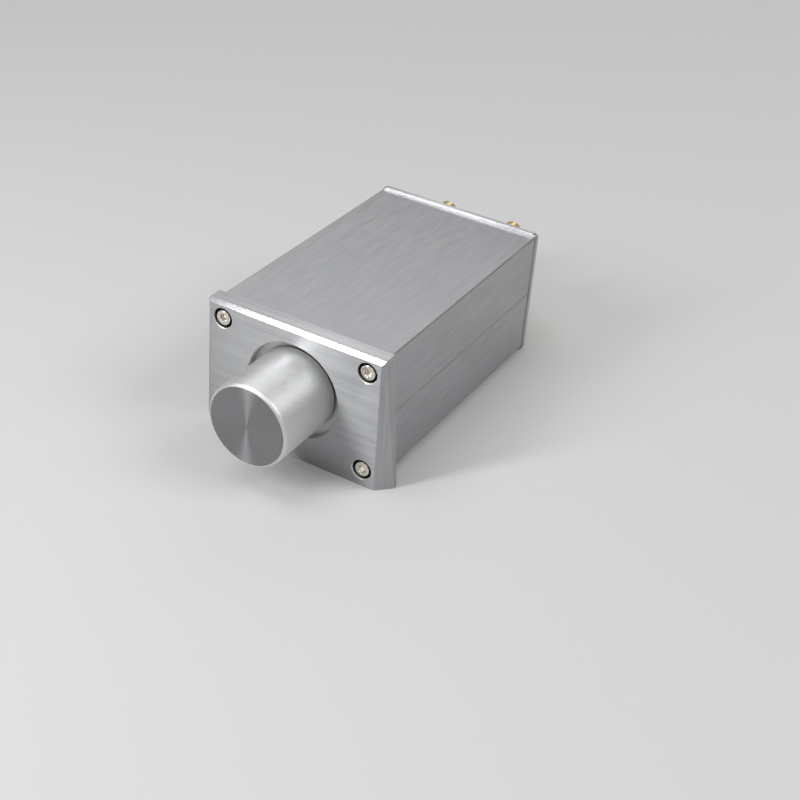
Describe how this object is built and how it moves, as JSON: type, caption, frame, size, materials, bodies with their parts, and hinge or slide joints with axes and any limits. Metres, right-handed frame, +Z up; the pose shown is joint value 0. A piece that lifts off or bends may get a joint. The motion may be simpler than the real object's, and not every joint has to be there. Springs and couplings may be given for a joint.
{
  "type": "passive volume controller",
  "caption": "Small metal box with a large turned volume knob on a thick bevelled front panel, a split extruded case and gold phono sockets at the rear.",
  "frame": {"origin": "on the table, in the middle of the box round the whole object, knob and sockets included", "axes": "+X to the right as seen from the front, +Y to the rear along the case and the knob's axis, +Z up"},
  "size_m": [0.076, 0.1546, 0.0498],
  "materials": {
    "panel": "brushed across, clear",
    "case": "brushed lengthwise, clear anodised",
    "rear_panel": "brushed across, clear anodised",
    "knob": "turned, with a spun face",
    "screw_nickel": "nickel plated",
    "steel": "bright",
    "cast_zinc": "plated zinc casting",
    "gold_plate": "gold plated",
    "contact_gold": "gold plated",
    "insulator_white": "natural fluoropolymer",
    "washer_red": "moulded",
    "pot_housing": "moulded",
    "phenolic": "laminated board with a carbon track",
    "carrier": "moulded",
    "bare_copper": "bare copper",
    "wire_white": "insulated wire",
    "wire_red": "insulated wire",
    "wire_blue": "insulated wire",
    "wire_dark_red": "insulated wire",
    "wire_black": "insulated wire"
  },
  "bodies": {
    "housing": {"front_panel": "panel", "upper_shell": "case", "lower_shell": "case", "rear_panel": "rear_panel", "front_panel_screws": "screw_nickel", "rear_panel_screws": "screw_nickel", "pot_washer": "steel", "pot_nut": "steel", "pot_rivets": "steel", "pot_bushing": "cast_zinc", "pot_cover": "cast_zinc", "input_left_socket": "gold_plate", "input_right_socket": "gold_plate", "output_left_socket": "gold_plate", "output_right_socket": "gold_plate", "socket_nuts": "gold_plate", "ground_tags": "gold_plate", "input_left_contact": "contact_gold", "input_right_contact": "contact_gold", "output_left_contact": "contact_gold", "output_right_contact": "contact_gold", "terminals_left": "contact_gold", "terminals_right": "contact_gold", "input_left_insulator": "insulator_white", "input_right_insulator": "insulator_white", "output_left_insulator": "insulator_white", "output_right_insulator": "insulator_white", "inner_washers": "insulator_white", "collar_washers_left": "insulator_white", "collar_washers_right": "washer_red", "pot_case_left": "pot_housing", "pot_case_right": "pot_housing", "track_left": "phenolic", "track_right": "phenolic", "ground_bus": "bare_copper", "ground_link": "bare_copper", "input_left_wire": "wire_white", "input_right_wire": "wire_red", "output_left_wire": "wire_blue", "output_right_wire": "wire_dark_red", "ground_wire": "wire_black"},
    "volume_knob": {"knob": "knob", "knob_grub_screw": "steel", "pot_shaft": "steel", "shaft_clip": "steel", "wiper_carrier_left": "carrier", "wiper_carrier_right": "carrier", "wiper_contact_left": "contact_gold", "wiper_contact_right": "contact_gold"}
  },
  "joints": [
    {"name": "volume_turn", "type": "hinge", "parent": "housing", "child": "volume_knob", "pos_m": [0, -0.0521, 0.0262], "axis": [0, 1, 0], "range_deg": [-150, 150]}
  ]
}
